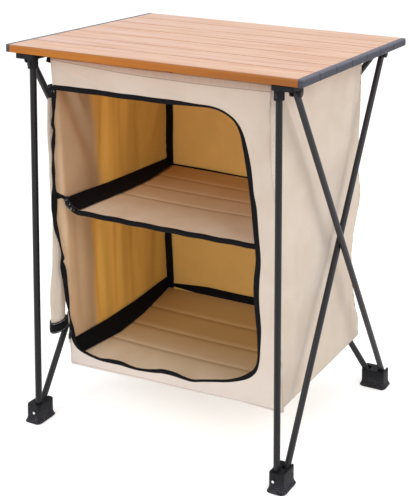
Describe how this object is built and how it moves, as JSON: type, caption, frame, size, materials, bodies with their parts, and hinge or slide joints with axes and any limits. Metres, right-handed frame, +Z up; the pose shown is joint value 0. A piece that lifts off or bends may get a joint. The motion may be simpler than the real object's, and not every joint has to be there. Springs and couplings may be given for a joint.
{
  "type": "camping wardrobe",
  "caption": "Folding camping cupboard: crossed-tube frame with plastic hubs and feet, slatted roll-up top and a hanging fabric box with shelf and open zipped door",
  "frame": {"origin": "centre of the bounding box on the ground", "axes": "X from left to right along the front, Y from front to back, Z up"},
  "size_m": [0.64, 0.4086, 0.74],
  "materials": {
    "back_binding": "woven tape",
    "back_rivet": "plain rivet",
    "cap_left_1": "moulded, speckled",
    "cap_left_2": "moulded, speckled",
    "cap_left_3": "moulded, speckled",
    "cap_left_4": "moulded, speckled",
    "cap_left_5": "moulded, speckled",
    "cap_left_6": "moulded, speckled",
    "cap_left_7": "moulded, speckled",
    "cap_right_1": "moulded, speckled",
    "cap_right_2": "moulded, speckled",
    "cap_right_3": "moulded, speckled",
    "cap_right_4": "moulded, speckled",
    "cap_right_5": "moulded, speckled",
    "cap_right_6": "moulded, speckled",
    "cap_right_7": "moulded, speckled",
    "door_binding": "woven tape",
    "door_roll": "plain weave",
    "floor_band_left": "woven tape",
    "floor_band_right": "woven tape",
    "floor_board": "stiff board in a cloth sleeve",
    "foot_back_left": "moulded, satin",
    "foot_back_right": "moulded, satin",
    "foot_front_left": "moulded, satin",
    "foot_front_right": "moulded, satin",
    "hub_back_left": "moulded, satin",
    "hub_back_right": "moulded, satin",
    "hub_front_left": "moulded, satin",
    "hub_front_right": "moulded, satin",
    "leg_left": "powder coated",
    "leg_right": "powder coated",
    "panel_front": "plain weave",
    "roll_ring": "woven tape",
    "shelf": "stiff board in a cloth sleeve",
    "shelf_band_left": "woven tape",
    "shelf_band_right": "woven tape",
    "shelf_binding": "woven tape",
    "slat_1": "printed wood grain on a smooth board",
    "slat_2": "printed wood grain on a smooth board",
    "slat_3": "printed wood grain on a smooth board",
    "slat_4": "printed wood grain on a smooth board",
    "slat_5": "printed wood grain on a smooth board",
    "slat_6": "printed wood grain on a smooth board",
    "slat_7": "printed wood grain on a smooth board",
    "strap_back_left": "woven tape",
    "strap_back_right": "woven tape",
    "strap_front_left": "woven tape",
    "strap_front_right": "woven tape",
    "tube_back_falling": "powder coated",
    "tube_back_rising": "powder coated",
    "tube_left_down": "powder coated",
    "tube_left_up": "powder coated",
    "tube_right_down": "powder coated",
    "tube_right_up": "powder coated",
    "wall_back": "plain weave",
    "wall_left": "plain weave",
    "wall_right": "plain weave",
    "zip_pull": "coated zip metal",
    "zip_slider": "coated zip metal"
  },
  "bodies": {
    "left_leg": {"hub_front_left": "hub_front_left", "foot_front_left": "foot_front_left", "leg_left": "leg_left", "wall_left": "wall_left", "panel_front": "panel_front", "door_binding": "door_binding", "door_roll": "door_roll", "roll_ring": "roll_ring", "zip_slider": "zip_slider", "shelf_band_left": "shelf_band_left", "floor_band_left": "floor_band_left", "strap_front_left": "strap_front_left", "strap_back_left": "strap_back_left"},
    "zip_pull": {"zip_pull": "zip_pull"},
    "tube_left_down": {"tube_left_down": "tube_left_down"},
    "foot_back_left": {"foot_back_left": "foot_back_left"},
    "tube_left_up": {"tube_left_up": "tube_left_up"},
    "hub_back_left": {"hub_back_left": "hub_back_left"},
    "tube_back_rising": {"tube_back_rising": "tube_back_rising", "back_rivet": "back_rivet"},
    "hub_back_right": {"hub_back_right": "hub_back_right"},
    "tube_back_falling": {"tube_back_falling": "tube_back_falling"},
    "foot_back_right": {"foot_back_right": "foot_back_right"},
    "tube_right_up": {"tube_right_up": "tube_right_up"},
    "right_leg": {"hub_front_right": "hub_front_right", "foot_front_right": "foot_front_right", "leg_right": "leg_right", "wall_right": "wall_right", "shelf_band_right": "shelf_band_right", "floor_band_right": "floor_band_right", "strap_front_right": "strap_front_right", "strap_back_right": "strap_back_right"},
    "tube_right_down": {"tube_right_down": "tube_right_down"},
    "back_panel": {"wall_back": "wall_back", "back_binding": "back_binding"},
    "shelf": {"shelf": "shelf", "shelf_binding": "shelf_binding"},
    "floor_board": {"floor_board": "floor_board"},
    "slat_1": {"slat_1": "slat_1", "cap_left_1": "cap_left_1", "cap_right_1": "cap_right_1"},
    "slat_2": {"slat_2": "slat_2", "cap_left_2": "cap_left_2", "cap_right_2": "cap_right_2"},
    "slat_3": {"slat_3": "slat_3", "cap_left_3": "cap_left_3", "cap_right_3": "cap_right_3"},
    "slat_4": {"slat_4": "slat_4", "cap_left_4": "cap_left_4", "cap_right_4": "cap_right_4"},
    "slat_5": {"slat_5": "slat_5", "cap_left_5": "cap_left_5", "cap_right_5": "cap_right_5"},
    "slat_6": {"slat_6": "slat_6", "cap_left_6": "cap_left_6", "cap_right_6": "cap_right_6"},
    "slat_7": {"slat_7": "slat_7", "cap_left_7": "cap_left_7", "cap_right_7": "cap_right_7"}
  },
  "joints": [
    {"name": "frame_fold", "type": "hinge", "parent": "left_leg", "child": "tube_left_down", "pos_m": [-0.289, -0.1715, 0.7077], "axis": [-1, 0, 0], "range_deg": [0, 22.29], "deforming": ["wall_left", "wall_right", "wall_back", "back_binding", "panel_front", "door_binding", "shelf", "shelf_binding", "floor_board", "shelf_band_left", "shelf_band_right", "floor_band_left", "floor_band_right", "strap_front_left", "strap_front_right", "strap_back_left", "strap_back_right", "door_roll", "roll_ring"]},
    {"name": "foot_back_left_turn", "type": "hinge", "parent": "tube_left_down", "child": "foot_back_left", "pos_m": [-0.289, 0.1828, 0.028], "axis": [1, 0, 0], "range_deg": [0, 22.3]},
    {"name": "tube_left_up_turn", "type": "hinge", "parent": "left_leg", "child": "tube_left_up", "pos_m": [-0.276, -0.1715, 0.028], "axis": [1, 0, 0], "range_deg": [0, 22.3]},
    {"name": "hub_back_left_turn", "type": "hinge", "parent": "tube_left_up", "child": "hub_back_left", "pos_m": [-0.276, 0.1828, 0.7077], "axis": [-1, 0, 0], "range_deg": [0, 22.3]},
    {"name": "tube_back_rising_turn", "type": "hinge", "parent": "foot_back_left", "child": "tube_back_rising", "pos_m": [-0.2575, 0.1893, 0.028], "axis": [0, -1, 0], "range_deg": [0, 30.43]},
    {"name": "hub_back_right_turn", "type": "hinge", "parent": "tube_back_rising", "child": "hub_back_right", "pos_m": [0.2575, 0.1893, 0.7077], "axis": [0, 1, 0], "range_deg": [0, 30.43]},
    {"name": "tube_back_falling_turn", "type": "hinge", "parent": "hub_back_left", "child": "tube_back_falling", "pos_m": [-0.2575, 0.1763, 0.7077], "axis": [0, 1, 0], "range_deg": [0, 30.43]},
    {"name": "foot_back_right_turn", "type": "hinge", "parent": "tube_back_falling", "child": "foot_back_right", "pos_m": [0.2575, 0.1763, 0.028], "axis": [0, -1, 0], "range_deg": [0, 30.43]},
    {"name": "tube_right_up_turn", "type": "hinge", "parent": "hub_back_right", "child": "tube_right_up", "pos_m": [0.276, 0.1828, 0.7077], "axis": [1, 0, 0], "range_deg": [0, 22.3]},
    {"name": "leg_right_turn", "type": "hinge", "parent": "tube_right_up", "child": "right_leg", "pos_m": [0.276, -0.1715, 0.028], "axis": [-1, 0, 0], "range_deg": [0, 22.3]},
    {"name": "tube_right_down_turn", "type": "hinge", "parent": "right_leg", "child": "tube_right_down", "pos_m": [0.289, -0.1715, 0.7077], "axis": [-1, 0, 0], "range_deg": [0, 22.3]},
    {"name": "back_panel_slide", "type": "slide", "parent": "left_leg", "child": "back_panel", "axis": [0, -1, 0], "range_m": [0, 0.28479]},
    {"name": "shelf_fold", "type": "hinge", "parent": "left_leg", "child": "shelf", "pos_m": [-0.24, -0.14883, 0.407], "axis": [-1, 0, 0], "range_deg": [0, 86.14]},
    {"name": "floor_fold", "type": "hinge", "parent": "left_leg", "child": "floor_board", "pos_m": [-0.24, -0.1206, 0.116], "axis": [1, 0, 0], "range_deg": [0, 93.88]},
    {"name": "top_lift", "type": "slide", "parent": "hub_back_left", "child": "slat_4", "axis": [0, 0, 1], "range_m": [0, 0.36]},
    {"name": "slat_3_curl", "type": "hinge", "parent": "slat_4", "child": "slat_3", "pos_m": [0, -0.029, 0.725], "axis": [1, 0, 0], "range_deg": [0, 48.01]},
    {"name": "slat_5_curl", "type": "hinge", "parent": "slat_4", "child": "slat_5", "pos_m": [0, 0.029, 0.725], "axis": [-1, 0, 0], "range_deg": [0, 48.01]},
    {"name": "slat_2_curl", "type": "hinge", "parent": "slat_3", "child": "slat_2", "pos_m": [0, -0.087, 0.725], "axis": [1, 0, 0], "range_deg": [0, 48.01]},
    {"name": "slat_6_curl", "type": "hinge", "parent": "slat_5", "child": "slat_6", "pos_m": [0, 0.087, 0.725], "axis": [-1, 0, 0], "range_deg": [0, 48.01]},
    {"name": "slat_1_curl", "type": "hinge", "parent": "slat_2", "child": "slat_1", "pos_m": [0, -0.145, 0.725], "axis": [1, 0, 0], "range_deg": [0, 48.01]},
    {"name": "slat_7_curl", "type": "hinge", "parent": "slat_6", "child": "slat_7", "pos_m": [0, 0.145, 0.725], "axis": [-1, 0, 0], "range_deg": [0, 48.01]},
    {"name": "zip_pull_swing", "type": "hinge", "parent": "left_leg", "child": "zip_pull", "pos_m": [-0.2335, -0.14175, 0.16225], "axis": [-1, 0, 0], "range_deg": [-3, 80]}
  ],
  "couplings": [
    {"joint": "foot_back_left_turn", "follows": "frame_fold", "ratio": 1},
    {"joint": "tube_left_up_turn", "follows": "frame_fold", "ratio": 1},
    {"joint": "hub_back_left_turn", "follows": "frame_fold", "ratio": 1},
    {"joint": "tube_back_rising_turn", "follows": "frame_fold", "ratio": 1.3645},
    {"joint": "hub_back_right_turn", "follows": "frame_fold", "ratio": 1.3645},
    {"joint": "tube_back_falling_turn", "follows": "frame_fold", "ratio": 1.3645},
    {"joint": "foot_back_right_turn", "follows": "frame_fold", "ratio": 1.3645},
    {"joint": "tube_right_up_turn", "follows": "frame_fold", "ratio": 1},
    {"joint": "leg_right_turn", "follows": "frame_fold", "ratio": 1},
    {"joint": "tube_right_down_turn", "follows": "frame_fold", "ratio": 1},
    {"joint": "back_panel_slide", "follows": "frame_fold", "m_per_rad": 0.73074},
    {"joint": "shelf_fold", "follows": "frame_fold", "ratio": 3.8639},
    {"joint": "floor_fold", "follows": "frame_fold", "ratio": 4.2111},
    {"joint": "slat_3_curl", "follows": "top_lift", "rad_per_m": 2.3271},
    {"joint": "slat_5_curl", "follows": "top_lift", "rad_per_m": 2.3271},
    {"joint": "slat_2_curl", "follows": "top_lift", "rad_per_m": 2.3271},
    {"joint": "slat_6_curl", "follows": "top_lift", "rad_per_m": 2.3271},
    {"joint": "slat_1_curl", "follows": "top_lift", "rad_per_m": 2.3271},
    {"joint": "slat_7_curl", "follows": "top_lift", "rad_per_m": 2.3271}
  ]
}
